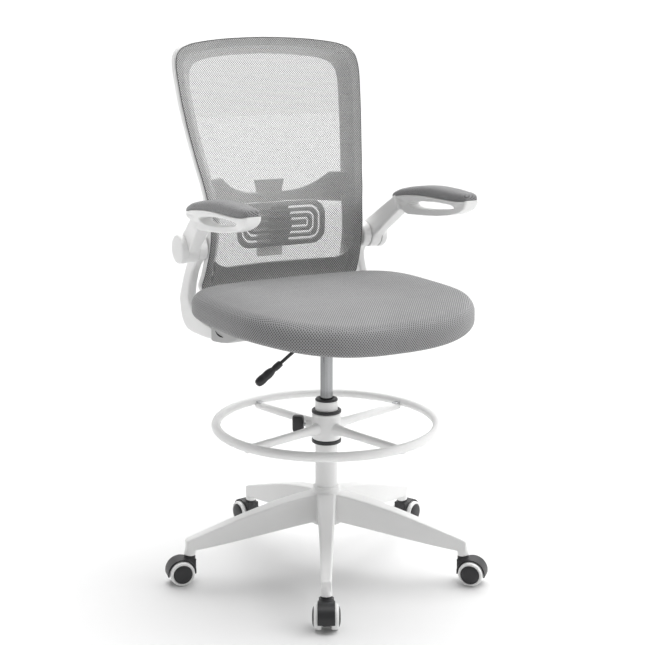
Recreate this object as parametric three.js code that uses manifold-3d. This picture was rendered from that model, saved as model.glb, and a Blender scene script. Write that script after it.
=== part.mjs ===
// Drafting chair: five-star base on twin-wheel casters, gas lift, turning foot ring,
// padded seat, mesh back with a sliding lumbar pad, and flip-up armrests.
// Millimetres, +Z up, the chair faces -Y. The column axis is the design axis; the whole
// chair is then shifted so that the origin is the middle of its footprint on the floor.
import * as THREE from 'three';
import { mergeVertices } from 'three/addons/utils/BufferGeometryUtils.js';
import Module from 'manifold-3d';

const wasm = await Module();
wasm.setup();

// ---- driving dimensions ----
const SHIFT = [12.0, -21.0, 0];          // column axis to footprint centre
const GAP = 0.3;                         // between touching pieces
const BASE_TURN = -29;                   // heading of leg 1, degrees, 0 is -Y
const STEM_R = 316.6;                    // caster stem circle
const LEG_END = 330;                     // leg tip end, from the column axis
const LEG_Z0 = 63;                       // underside of a leg tip
const HUB_Z = [104, 188];                // base hub
const WHEEL_R = 27, WHEEL_W = 20, WHEEL_IN = 9.6, TRAIL = 20.5, AXLE_R = 4;
const HOOD_R = 31.6, HOOD_W = 18;
const STEM_PIN_R = 5.5;
const TUBE_R = 25, TUBE_IN = 23, TUBE_Z = [105, 388];
const CYL_R = 14, CYL_IN = 11, CYL_Z = [268, 528];
const ROD_R = 5, ROD_TOP = 400;
const RING_R = 245.8, RING_TUBE = 10.2, RING_Z = 336;
const FOOT_HUB_R = 32, FOOT_HUB_Z = [300.3, 360.7];
const SPOKES = [-45, 43, 135, -137];     // degrees from leg 1's heading
const KNOB_AT = -98;                     // clamp knob heading, degrees from leg 1's heading
const SEAT = { a: 280, bf: 266, br: 238.4, yc: -44.4, zt: 638.4, th: 58, rt: 28.7, rb: 14, nf: 2.6, nr: 4.5, drop: 25.7, crown: 3 };
const PAN = { inset: 40, z0: 568, z1: 579.2 };
const TILT_Y = -45, TILT_Z = 528;        // tilt pivot
const ARM_PIVOT = [206, 717];            // y, z of the armrest pivot
const ARM_X = 258;                       // armrest centre plane
const PAD_W = 26;                        // half width of an armrest
const BACK_Z = [598, 640, 660, 680, 700, 720, 751, 780, 810, 828, 860, 900, 940, 980, 1020, 1060, 1090, 1111, 1147, 1173];
const BACK_Y = [232, 207, 196.6, 188.8, 181.4, 176.4, 172.2, 174.2, 178.6, 181.5, 191.2, 204.7, 217.6, 229.5, 240.2, 249.8, 257, 263, 273, 280];
const BACK_BOW = 20;                     // how far the middle lies behind the edges
// half outline of the back's mesh, x then z, from the bottom middle to the top middle
const BACK_EDGE = [[0, 602], [60, 602.4], [120, 603.4], [168, 606], [190, 612], [199, 626], [198.4, 642], [197.2, 660], [196, 680], [194.6, 700],
  [193.4, 720], [192.7, 750], [193.2, 780], [195.2, 810], [198.4, 836], [202.4, 866], [208.4, 900], [214.6, 940], [220.3, 980],
  [225, 1020], [228.4, 1060], [230.4, 1090], [230.2, 1112], [226, 1132], [214, 1147.5], [187, 1158.5], [150, 1164.8], [100, 1169.6],
  [50, 1172], [0, 1173]];
// armrest shell, side view: y, z
const SHELL_TOP = [[114, 813], [90, 819], [50, 825], [0, 830], [-45, 832.6], [-104, 833], [-140, 834.4], [-168, 839]];
const SHELL_LOW = [[-170, 832], [-165, 820], [-147, 808], [-111, 798], [-57, 789], [20, 782], [62, 779]];
const EYE = [[58, 804], [40, 797.5], [0, 796.5], [-60, 802], [-110, 809], [-136, 816], [-128, 820], [-91, 821], [-12, 816], [30, 811]];

// ---- helpers ----
const rad = d => d * Math.PI / 180;
function interp(x, xs, ys) {
  if (x <= xs[0]) return ys[0];
  for (let i = 1; i < xs.length; i++) if (x <= xs[i]) return ys[i - 1] + (ys[i] - ys[i - 1]) * (x - xs[i - 1]) / (xs[i] - xs[i - 1]);
  return ys[ys.length - 1];
}
function clean(geo) {
  const g = geo.index ? geo.clone() : geo.clone();
  for (const k of Object.keys(g.attributes)) if (k !== 'position') g.deleteAttribute(k);
  return mergeVertices(g, 1e-4);
}
function volume(g) {
  const p = g.attributes.position, ix = g.index.array;
  let v = 0;
  const a = new THREE.Vector3(), b = new THREE.Vector3(), c = new THREE.Vector3();
  for (let i = 0; i < ix.length; i += 3) {
    a.fromBufferAttribute(p, ix[i]); b.fromBufferAttribute(p, ix[i + 1]); c.fromBufferAttribute(p, ix[i + 2]);
    v += a.dot(b.cross(c));
  }
  return v / 6;
}
function outward(geo) {                  // indexed, closed, faces pointing out
  const g = clean(geo);
  if (volume(g) < 0) { const ix = g.index.array; for (let i = 0; i < ix.length; i += 3) { const t = ix[i]; ix[i] = ix[i + 1]; ix[i + 1] = t; } }
  return g;
}
function solid(geo) {
  const g = outward(geo);
  return new wasm.Manifold(new wasm.Mesh({ numProp: 3, vertProperties: new Float32Array(g.attributes.position.array), triVerts: new Uint32Array(g.index.array) }));
}
function geometry(m) {
  const r = m.getMesh(), g = new THREE.BufferGeometry();
  g.setAttribute('position', new THREE.BufferAttribute(new Float32Array(r.vertProperties), 3));
  g.setIndex(new THREE.BufferAttribute(new Uint32Array(r.triVerts), 1));
  g.computeVertexNormals();
  return g;
}
const join = (...s) => s.slice(1).reduce((a, b) => a.add(b), s[0]);
const cut = (a, ...s) => s.reduce((x, y) => x.subtract(y), a);
function lathe(profile, seg = 32) {      // [r, z] pairs, about Z
  const pts = profile.map(p => new THREE.Vector2(p[0], p[1]));
  if (profile[0][0] !== 0 || profile[profile.length - 1][0] !== 0) pts.push(pts[0].clone());
  const g = new THREE.LatheGeometry(pts, seg);
  g.rotateX(Math.PI / 2);
  return solid(g);
}
function box(x0, x1, y0, y1, z0, z1) {
  const g = new THREE.BoxGeometry(x1 - x0, y1 - y0, z1 - z0);
  g.translate((x0 + x1) / 2, (y0 + y1) / 2, (z0 + z1) / 2);
  return solid(g);
}
function rod(p, q, r, seg = 12, r2 = r) {
  const a = new THREE.Vector3(...p), b = new THREE.Vector3(...q), d = b.clone().sub(a);
  const g = new THREE.CylinderGeometry(r2, r, d.length(), seg);
  g.translate(0, d.length() / 2, 0);
  g.applyQuaternion(new THREE.Quaternion().setFromUnitVectors(new THREE.Vector3(0, 1, 0), d.normalize()));
  g.translate(...p);
  return solid(g);
}
// rows of points with the same count, open ends capped as fans, or the rows joined in a ring
function loft(rows, ring = false) {
  const n = rows[0].length, m = rows.length, pos = [], ix = [];
  for (const r of rows) for (const p of r) pos.push(...p);
  const at = (i, j) => ((i + m) % m) * n + ((j + n) % n);
  for (let i = 0; i < (ring ? m : m - 1); i++) for (let j = 0; j < n; j++) {
    ix.push(at(i, j), at(i, j + 1), at(i + 1, j + 1), at(i, j), at(i + 1, j + 1), at(i + 1, j));
  }
  if (!ring) for (const [i, s] of [[0, -1], [m - 1, 1]]) {
    const c = [0, 1, 2].map(k => rows[i].reduce((t, p) => t + p[k], 0) / n), ci = pos.length / 3;
    pos.push(...c);
    for (let j = 0; j < n; j++) s > 0 ? ix.push(ci, at(i, j), at(i, j + 1)) : ix.push(ci, at(i, j + 1), at(i, j));
  }
  const g = new THREE.BufferGeometry();
  g.setAttribute('position', new THREE.Float32BufferAttribute(pos, 3));
  g.setIndex(ix);
  return solid(g);
}
// outline in two coordinates, pushed through a thickness along the third: 'x' takes [y, z], 'y' takes [x, z], 'z' takes [x, y]
function prism(pts, axis, lo, hi, holes = [], move = null, steps = 1) {
  const s = new THREE.Shape(pts.map(p => new THREE.Vector2(p[0], p[1])));
  for (const h of holes) s.holes.push(new THREE.Path(h.map(p => new THREE.Vector2(p[0], p[1]))));
  const g = new THREE.ExtrudeGeometry(s, { depth: hi - lo, steps, bevelEnabled: false });
  const p = g.attributes.position;
  for (let i = 0; i < p.count; i++) {
    const u = p.getX(i), v = p.getY(i), w = p.getZ(i) + lo;
    let q = axis === 'x' ? [w, u, v] : axis === 'y' ? [u, w, v] : [u, v, w];
    if (move) q = move(q);
    p.setXYZ(i, ...q);
  }
  return solid(g);
}
function curve(pts, n, closed = false) { // smooth run of 2D points
  const c = new THREE.CatmullRomCurve3(pts.map(p => new THREE.Vector3(p[0], p[1], 0)), closed, 'centripetal');
  return c.getSpacedPoints(n).slice(0, closed ? n : n + 1).map(p => [p.x, p.y]);
}
function ngon(u, v, r, n) { return Array.from({ length: n }, (_, i) => [u + r * Math.cos(2 * Math.PI * i / n), v + r * Math.sin(2 * Math.PI * i / n)]); }
function turned(m, deg) { return m.rotate([0, 0, deg]); }
const mirror = m => m.mirror([1, 0, 0]);

// ---- materials ----
const mat = (c, r, m = 0) => new THREE.MeshStandardMaterial({ color: c, roughness: r, metalness: m });
const WHITE = mat(0xe9e9e8, 0.45), BLACK = mat(0x17181a, 0.5), CHROME = mat(0xc9cbcd, 0.18, 1), STEEL = mat(0x8d9092, 0.35, 1);
const POWDER = mat(0xe6e6e5, 0.5, 0), FABRIC = mat(0x8f9092, 0.95), MESH = mat(0x9b9c9e, 0.9), PLY = mat(0x3a3b3d, 0.7), RUBBER = mat(0x202022, 0.85);

const chair = new THREE.Group();
chair.name = 'drafting_chair';
function add(name, m, material) {
  const mesh = new THREE.Mesh(geometry(m), material);
  mesh.name = name;
  mesh.position.set(...SHIFT);
  chair.add(mesh);
}

// ---- base ----
function headingVec(deg) { return [Math.sin(rad(deg)), -Math.cos(rad(deg))]; }
function leg() {                         // along -Y
  const rows = [];
  const st = [[22, 178, 116, 20.5, 19], [60, 172, 111, 19.5, 18], [120, 160, 100, 17.6, 15.5], [190, 141, 85, 15, 13], [260, 119, 71, 12.6, 11.5], [300, 106, 64, 11.6, 11.2], [322, 99.5, 63, 11.2, 11], [330, 96, 64, 9.6, 9.4]];
  for (const [r, zt, zb, wt, wb] of st) rows.push([[-wt + 3, -r, zt], [-wt, -r, zt - 4], [-wb, -r, zb + 2], [-wb + 2, -r, zb], [wb - 2, -r, zb], [wb, -r, zb + 2], [wt, -r, zt - 4], [wt - 3, -r, zt]]);
  return loft(rows);
}
{
  let star = lathe([[0, 104], [34, 104], [37, 108], [34, 150], [30.5, 182], [29, 188], [0, 188]], 32);
  for (let i = 0; i < 5; i++) star = star.add(turned(leg(), BASE_TURN + 72 * i));
  star = star.subtract(lathe([[0, 112], [TUBE_R + GAP, 112], [TUBE_R + GAP, 190], [0, 190]], 32)).subtract(lathe([[0, 90], [14, 90], [14, 120], [0, 120]], 24));
  for (let i = 0; i < 5; i++) {
    const [hx, hy] = headingVec(BASE_TURN + 72 * i);
    star = star.subtract(rod([hx * STEM_R, hy * STEM_R, 50], [hx * STEM_R, hy * STEM_R, 88.3], STEM_PIN_R + GAP, 16));
  }
  add('base_star', star, WHITE);
  add('column_tube', lathe([[TUBE_IN, 117], [13, 117], [13, 112.3], [TUBE_R, 112.3], [TUBE_R, TUBE_Z[1]], [TUBE_IN, TUBE_Z[1]]], 32), POWDER);
  add('guide_bush', lathe([[CYL_R + 0.2, 318], [TUBE_IN - GAP, 318], [TUBE_IN - GAP, TUBE_Z[1] + GAP], [TUBE_R, TUBE_Z[1] + GAP], [TUBE_R, 391], [23.5, 393], [CYL_R + 0.2, 393]], 32), BLACK);
  add('thrust_bearing', lathe([[ROD_R + 0.4, 117.3], [13, 117.3], [13, 122], [ROD_R + 0.4, 122]], 24), STEEL);
}

// ---- casters ----
for (let i = 0; i < 5; i++) {
  const k = i + 1, turn = BASE_TURN + 72 * i;
  const ay = -(STEM_R + TRAIL);          // axle position while the caster points along -Y
  add('caster_stem_' + k, turned(join(rod([0, -STEM_R, 30], [0, -STEM_R, 88], STEM_PIN_R, 14)), turn), STEEL);
  const arc = [];
  for (let a = -4; a <= 184; a += 188 / 10) arc.push([ay + HOOD_R * Math.cos(rad(a)) * 1, WHEEL_R + HOOD_R * Math.sin(rad(a))]);
  for (let a = 184; a >= -4; a -= 188 / 10) arc.push([ay + (WHEEL_R + 1.6) * Math.cos(rad(a)), WHEEL_R + (WHEEL_R + 1.6) * Math.sin(rad(a))]);
  let hood = prism(arc, 'x', -HOOD_W, HOOD_W);
  const web = [];
  for (let a = 0; a < 360; a += 22.5) web.push([ay + 20 * Math.cos(rad(a)), WHEEL_R + 20 * Math.sin(rad(a))]);
  hood = hood.add(prism(web, 'x', -8.6, 8.6));
  hood = hood.add(box(-8.6, 8.6, ay + 5, -STEM_R + 11, 24, 57)).add(box(-8.6, 8.6, ay - 14, ay + 14, 40, 56));
  hood = hood.add(rod([0, -STEM_R, 55.5], [0, -STEM_R, LEG_Z0 - 1.2], 13, 18));
  hood = hood.subtract(rod([0, -STEM_R, 29], [0, -STEM_R, 70], STEM_PIN_R + 0.2, 16));
  hood = hood.subtract(rod([-10, ay, WHEEL_R], [10, ay, WHEEL_R], AXLE_R + GAP, 16));
  hood = hood.subtract(prism([[ay - 40, -5], [ay + 40, -5], [ay + 40, 20], [ay - 40, 20]], 'x', -30, 30));
  add('caster_hood_' + k, turned(hood, turn), BLACK);
  add('caster_axle_' + k, turned(rod([-27, ay, WHEEL_R], [27, ay, WHEEL_R], AXLE_R, 16), turn), STEEL);
  for (const [s, side] of [[-1, 'left'], [1, 'right']]) {
    // profile: radius, distance along the axle from the middle
    const WR = WHEEL_R / Math.cos(Math.PI / 20), pr = [[AXLE_R + 0.2, WHEEL_IN], [WR - 2, WHEEL_IN], [WR, WHEEL_IN + 2], [WR, WHEEL_IN + WHEEL_W - 4], [WR - 4, WHEEL_IN + WHEEL_W], [14, WHEEL_IN + WHEEL_W], [12, WHEEL_IN + WHEEL_W - 1.4], [AXLE_R + 0.2, WHEEL_IN + WHEEL_W - 1.4]];
    let w = lathe(pr, 20).rotate([0, 0, 9]).rotate([0, 90, 0]);
    if (s < 0) w = mirror(w);
    add(`caster_wheel_${side}_${k}`, turned(w.translate([0, ay, WHEEL_R]), turn), BLACK);
  }
}

// ---- gas lift ----
add('piston_rod', lathe([[0, 92], [ROD_R, 92], [ROD_R, 386], [CYL_IN - 0.4, 386], [CYL_IN - 0.4, ROD_TOP], [0, ROD_TOP]], 20), STEEL);
add('retaining_clip', lathe([[ROD_R + GAP, 106], [12, 106], [12, 111.7], [ROD_R + GAP, 111.7]], 20), STEEL);
add('gas_cylinder', lathe([[CYL_IN, CYL_Z[0]], [CYL_R, CYL_Z[0]], [CYL_R, CYL_Z[1]], [3.4, CYL_Z[1]], [3.4, CYL_Z[1] - 12], [CYL_IN, CYL_Z[1] - 12]], 32), CHROME);
add('release_pin', rod([0, 0, CYL_Z[1] - 11], [0, 0, CYL_Z[1] + 5], 3, 12), STEEL);

// ---- tilt mechanism ----
{
  let h = prism([[-62, 508], [44, 508], [62, 516], [62, 526], [24, 541], [-20, 550], [-62, 550]], 'x', -44, 44);
  h = h.subtract(prism([[-58.5, 514], [-24, 514], [-24, 560], [-58.5, 560]], 'x', -38, 38));
  h = h.subtract(prism([[-17, 530], [56, 530], [56, 560], [-17, 560]], 'x', -38, 38));
  h = h.subtract(lathe([[0, 500], [CYL_R + GAP, 500], [CYL_R + GAP, 535], [0, 535]], 32));
  h = h.subtract(rod([-50, TILT_Y, TILT_Z], [50, TILT_Y, TILT_Z], 6.35, 20));
  h = h.subtract(box(-50, -30, -41, -19, 528.5, 548.5)).subtract(box(-37.5, 2, -25, -16, 531, 560));
  h = h.subtract(rod([0, -70, 532], [0, -50, 532], 5.4, 16));
  add('tilt_housing', h, BLACK);
  add('torsion_bush', prism(ngon(TILT_Y, TILT_Z, 13, 18), 'x', -37.5, 37.5, [ngon(TILT_Y, TILT_Z, 6.5, 20)]), RUBBER);
  const kp = [];
  for (let i = 0; i < 24; i++) { const r = i % 4 < 2 ? 21 : 18.5; kp.push([r * Math.cos(rad(i * 15)), 535 + r * Math.sin(rad(i * 15))]); }
  add('tension_knob', join(prism(kp, 'y', -98, -72), rod([0, -73, 532], [0, -60, 532], 5, 14)), BLACK);
}
// release lever: inner end over the pin, out to the left, down to the grip
{
  const path = [[-1, 0, 537.2], [-22, -14, 539], [-40, -30, 538.5], [-60, -30, 538], [-84, -30, 525], [-137, -30, 489]];
  const pts = path.map(p => new THREE.Vector3(...p));
  const sh = new THREE.Shape();
  for (let i = 0; i <= 10; i++) { const a = rad(36 * i); i ? sh.lineTo(3.8 * Math.cos(a), 3.8 * Math.sin(a)) : sh.moveTo(3.8, 0); }
  const g = new THREE.ExtrudeGeometry(sh, { steps: 22, bevelEnabled: false, extrudePath: new THREE.CatmullRomCurve3(pts, false, 'centripetal') });
  let r = solid(g);
  add('lever_rod', r, BLACK);
  const d = new THREE.Vector3(-45, 0, -31).normalize();
  const at = (t) => [-128 + d.x * t, -30, 495.1 + d.z * t];
  const prof = [[0, 4.2], [0, 6.4], [4, 7], [16, 7.4], [22, 6.4], [30, 9.2], [58, 10.2], [66, 8.4], [70, 4]];
  const gp = new THREE.LatheGeometry([new THREE.Vector2(4.15, 0), ...prof.slice(1).map(([t, q]) => new THREE.Vector2(q, t)), new THREE.Vector2(0, 71), new THREE.Vector2(0, 12), new THREE.Vector2(4.15, 12), new THREE.Vector2(4.15, 0)], 16);
  gp.applyQuaternion(new THREE.Quaternion().setFromUnitVectors(new THREE.Vector3(0, 1, 0), d));
  gp.translate(...at(0));
  add('lever_grip', solid(gp), BLACK);
}

// ---- seat ----
// seat outline in plan: rounder in front, squarer behind; inset all round by d, scaled by k
function seatOutline(d, k, count) {
  const o = [], S = SEAT;
  for (let i = 0; i < count; i++) {
    const t = 2 * Math.PI * i / count, c = Math.cos(t), s = Math.sin(t), n = s < 0 ? S.nf : S.nr, b = s < 0 ? S.bf : S.br;
    o.push([k * (S.a - d) * Math.sign(c) * Math.abs(c) ** (2 / n), S.yc + k * (b - d) * Math.sign(s) * Math.abs(s) ** (2 / n)]);
  }
  return o;
}
const dropAt = (y) => { const f = Math.min(1.2, Math.max(0, (-(y - SEAT.yc) / SEAT.bf - 0.35) / 0.65)); return SEAT.drop * f * f; };
{
  const S = SEAT, N = 40, row = (d, z, k = 1) => seatOutline(d, k, N).map(([x, y]) => [x, y, z - dropAt(y)]);
  const zb = S.zt - S.th, rows = [row(PAN.inset, zb, 0.5), row(PAN.inset, zb)];
  for (const q of [0, 40, 90]) rows.push(row(S.rb * (1 - Math.sin(rad(q))), zb + S.rb * (1 - Math.cos(rad(q)))));
  for (const q of [0, 30, 60, 90]) rows.push(row(S.rt * (1 - Math.cos(rad(q))), S.zt - S.rt * (1 - Math.sin(rad(q)))));
  rows.push(row(S.rt, S.zt + S.crown * 0.7, 0.55));
  add('seat_cushion', loft(rows), FABRIC);
  // shell under the cushion; its middle stays flat, its front follows the cushion
  add('seat_pan', loft([row(PAN.inset, PAN.z0, 0.5), row(PAN.inset + 6, PAN.z0), row(PAN.inset, PAN.z0 + 5), row(PAN.inset, PAN.z1), row(PAN.inset, PAN.z1, 0.5)]), PLY);
  // plate bolted under the shell, with two ears down to the tilt pivot
  let pl = box(-86, 86, -74, 76, 556, 567.7);
  for (const s of [-1, 1]) pl = pl.add(prism([[-62, 557], [-60, 520], [-52, 513], [-38, 513], [-30, 520], [-10, 557]], 'x', s > 0 ? 44.4 : -50.4, s > 0 ? 50.4 : -44.4));
  pl = pl.subtract(rod([-60, TILT_Y, TILT_Z], [60, TILT_Y, TILT_Z], 6.3, 20)).subtract(box(-52, -43, -43, -17, 527, 552));
  add('seat_plate', pl, BLACK);
  add('tilt_pin', join(rod([-54, TILT_Y, TILT_Z], [54, TILT_Y, TILT_Z], 6, 20), rod([50.8, TILT_Y, TILT_Z], [55, TILT_Y, TILT_Z], 9, 20)), STEEL);
}

// ---- arm brackets: foot under the seat, upright, boss at the armrest pivot ----
const bracketShift = z => 20.7 + Math.max(0, Math.min(1, (682 - z) / 82)) * 23.3;   // outward sweep of the outer face
{
  const rear = curve([[228, 706], [243, 684], [249, 655], [252, 620], [251, 588], [241, 560], [217, 543], [150, 538], [60, 541], [-14, 550]], 18);
  const front = curve([[-14, 560], [60, 561], [120, 564], [150, 567], [178, 578], [197, 596], [206, 622], [209, 650], [205, 675], [188, 696]], 18);
  for (const s of [-1, 1]) {
    // outer face slants outward from the pivot down to the foot
    let b = prism([...rear, ...front], 'x', -10, 10, [], null, 1);
    let g = geometry(b);
    const p = g.attributes.position;
    for (let i = 0; i < p.count; i++) { const z = p.getZ(i); p.setX(i, p.getX(i) + 200 + bracketShift(z) - 10); }
    b = solid(g);
    b = b.add(rod([200.6, ...ARM_PIVOT], [221, ...ARM_PIVOT], 29, 32));
    b = b.add(prism([[88, 556], [226, 550], [226, 562], [212, 567.7], [88, 567.7]], 'y', -10, 170));
    b = b.subtract(rod([190, ...ARM_PIVOT], [230, ...ARM_PIVOT], 8 + GAP, 24));
    add(s > 0 ? 'arm_bracket_right' : 'arm_bracket_left', s > 0 ? b : mirror(b), WHITE);
    let pin = join(rod([206, ...ARM_PIVOT], [256, ...ARM_PIVOT], 8, 24), rod([248, ...ARM_PIVOT], [259, ...ARM_PIVOT], 31, 36), rod([259, ...ARM_PIVOT], [262, ...ARM_PIVOT], 31, 36, 28));
    add(s > 0 ? 'arm_pivot_cap_right' : 'arm_pivot_cap_left', s > 0 ? pin : mirror(pin), WHITE);
  }
}

// ---- armrests ----
function padHalf(y) {                    // half width along the armrest
  const t = (y + 27) / 144;
  return PAD_W * Math.sqrt(Math.max(0.3, 1 - 0.62 * Math.abs(t) ** 5));
}
{
  const hub = [];
  for (let a = 68; a >= -142; a -= 15) hub.push([ARM_PIVOT[0] + 31 * Math.cos(rad(a)), ARM_PIVOT[1] + 31 * Math.sin(rad(a))]);
  const top = curve(SHELL_TOP, 16), low = curve(SHELL_LOW, 14), eye = curve(EYE, 26, true);
  for (const s of [-1, 1]) {
    // grip shell with its eye, then the stem down to the hub
    const shellIn = [...top, ...low.slice(1), [60, 790], [70, 805]];
    let shell = prism(shellIn, 'x', -1, 1, [eye], q => [ARM_X + q[0] * padHalf(q[1]), q[1], q[2]]);
    const stemTop = [[106.5, 812], [104, 816.5], [84, 816.5], [66, 806], [58, 795], [62, 781], [80, 776]];
    const stemLow = [[237, 717], [228, 742], [206, 748], [186, 738], [176, 722], [176, 706], [206, 686]];
    const bars = [];
    const m = 6;
    for (let i = 0; i <= m; i++) {
      const t = i / m, row = [];
      const cx = 234.5 + (ARM_X - 236) * t ** 1.2, hw = 12.8 + (24 - 12.8) * Math.sin(Math.PI / 2 * t);
      const cy = 200 + (88 - 200) * t, cz = 724 + (797 - 724) * t, w = 31 + (20.5 - 31) * t ** 0.7;
      const nx = 73 / 133.7, nz = 112 / 133.7;    // normal to the stem in side view
      for (const [u, v] of [[-1, -0.8], [-0.8, -1], [0.8, -1], [1, -0.8], [1, 0.8], [0.8, 1], [-0.8, 1], [-1, 0.8]]) row.push([cx + hw * u, cy + nx * w * v, cz + nz * w * v]);
      bars.push(row);
    }
    let a = join(rod([221.4, ...ARM_PIVOT], [247.6, ...ARM_PIVOT], 31, 36), loft(bars), shell);
    a = a.subtract(rod([200, ...ARM_PIVOT], [221.4, ...ARM_PIVOT], 60, 36)).subtract(rod([247.6, ...ARM_PIVOT], [290, ...ARM_PIVOT], 34, 36));
    a = a.subtract(rod([200, ...ARM_PIVOT], [280, ...ARM_PIVOT], 8 + GAP, 24));
    add(s > 0 ? 'armrest_right' : 'armrest_left', s > 0 ? a : mirror(a), WHITE);
    // pad on the shell
    const rows = [];
    const pn = 12;
    for (let i = 0; i <= pn; i++) {
      const y = 115 + (-168 - 115) * i / pn, z0 = interp(-y, SHELL_TOP.map(q => -q[0]), SHELL_TOP.map(q => q[1])) + 0.8;
      const hw = padHalf(y) - 1, e = Math.sin(Math.PI * Math.min(1, Math.max(0, (i + 0.55) / (pn + 1.1)))) ** 0.55, t = 4 + 14 * e;
      rows.push([[-hw, z0], [-hw, z0 + t * 0.45], [-hw * 0.8, z0 + t * 0.85], [-hw * 0.35, z0 + t], [hw * 0.35, z0 + t], [hw * 0.8, z0 + t * 0.85], [hw, z0 + t * 0.45], [hw, z0]].map(([x, z]) => [ARM_X + x, y, z]));
    }
    const pad = loft(rows);
    add(s > 0 ? 'arm_pad_right' : 'arm_pad_left', s > 0 ? pad : mirror(pad), FABRIC);
  }
}

// ---- back ----
const backY = (x, z) => {
  const w = 200 + Math.max(0, Math.min(30, (z - 800) * 0.12));
  return interp(z, BACK_Z, BACK_Y) + BACK_BOW * (1 - Math.min(1.2, (x / w) ** 2));
};
{
  const half = curve(BACK_EDGE, 24);
  const loop = [...half, ...half.slice(1, -1).reverse().map(([x, z]) => [-x, z])];
  const cz = 887.5, off = (i, u) => [loop[i][0] * (1 - u / 205), cz + (loop[i][1] - cz) * (1 - u / 286)];
  const section = [[-2.5, 5], [17, 5], [20, 9], [38, 30], [36, 34], [10, 34], [2, 29], [-2.5, 21]];
  let frame = loft(loop.map((p, i) => section.map(([u, v]) => { const [x, z] = off(i, u); return [x, backY(x, z) + v, z]; })), true);
  // lumbar band, wide at the sides, lying behind the mesh
  const band = [];
  for (let i = 0; i <= 16; i++) {
    const x = -186 + 372 * i / 16, t = Math.abs(x), y = 275 - 66 * (t / 186) ** 2, zh = 822 + 56 * (t / 150) ** 3 * (t < 150 ? 1 : 1) , zl = 800 - 6 * (t / 186) ** 2;
    band.push([[x, y - 3.5, zl], [x, y + 3.5, zl], [x, y + 3.5, Math.min(zh, 866)], [x, y - 3.5, Math.min(zh, 866)]]);
  }
  frame = frame.add(loft(band));
  frame = frame.add(prism([[-39, 850], [-33, 828], [-33, 622], [33, 622], [33, 828], [39, 850]], 'y', 272, 282));
  frame = frame.add(prism([[-150, 622], [150, 622], [160, 650], [140, 668], [-140, 668], [-160, 650]], 'y', 250, 282));
  frame = frame.add(prism([[-44, 1136], [44, 1136], [52, 1160], [-52, 1160]], 'y', 322, 334));
  for (const s of [-1, 1]) frame = frame.add(s > 0 ? box(184, 200.2, 194, 228, 692, 742) : box(-200.2, -184, 194, 228, 692, 742));
  add('back_frame', frame, WHITE);
  // mesh, one thin panel following the frame
  const rings = [0.4, 18, 60, 125, 180].map(u => loop.map((p, i) => off(i, u)));
  const skin = v => rings.map(r => r.map(([x, z]) => [x, backY(x, z) + v, z])), front = skin(0), back = skin(3.2);
  add('back_mesh', loft([...front.slice().reverse(), ...back]), MESH);
}
// lumbar pad on its slider
{
  const rr = (x0, x1, z0, z1, r) => {
    const o = [];
    for (const [cx, cz, a0] of [[x1 - r, z1 - r, 0], [x0 + r, z1 - r, 90], [x0 + r, z0 + r, 180], [x1 - r, z0 + r, 270]]) for (let i = 0; i <= 4; i++) { const a = rad(a0 + 22.5 * i); o.push([cx + r * Math.cos(a), cz + r * Math.sin(a)]); }
    return o;
  };
  const bow = q => [q[0], q[1] - 10 * (q[0] / 113) ** 2, q[2]];
  let pad = prism(rr(-113, 113, 703, 806, 34), 'y', 221, 227);
  for (const s of [-1, 1]) for (const k of [0, 1, 2]) {
    // nested D-shaped slots
    const o = 12 + 14 * k, w = 5.5, x1 = 113 - o, x0 = 22 + 4 * k, z1 = 806 - o, z0 = 703 + o, r = Math.max(6, 26 - 9 * k), arc = (rad0, rx) => {
      const q = [];
      for (let i = 0; i <= 4; i++) q.push([x1 - r + (r - rx) * Math.cos(rad(90 - 22.5 * i)), z1 - r + (r - rx) * Math.sin(rad(90 - 22.5 * i))]);
      for (let i = 0; i <= 4; i++) q.push([x1 - r + (r - rx) * Math.cos(rad(-22.5 * i)), z0 + r + (r - rx) * Math.sin(rad(-22.5 * i))]);
      return q;
    };
    const out = [[x0, z1], ...arc(0, 0), [x0, z0]], inn = [[x0, z0 + w], ...arc(0, w).reverse(), [x0, z1 - w]];
    const slot = prism([...out, ...inn].map(([x, z]) => [s * x, z]), 'y', 200, 240);
    pad = pad.subtract(slot);
  }
  pad = solid((() => { const g = geometry(pad), p = g.attributes.position; for (let i = 0; i < p.count; i++) p.setXYZ(i, ...bow([p.getX(i), p.getY(i), p.getZ(i)])); return g; })());
  add('lumbar_pad', pad, WHITE);
  let sl = join(box(-42, 42, 266, 290, 735, 775), box(-12, 12, 227.4, 268, 742, 768));
  sl = sl.subtract(box(-33.5, 33.5, 271.5, 282.5, 700, 800));
  add('lumbar_slider', sl, WHITE);
}

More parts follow.
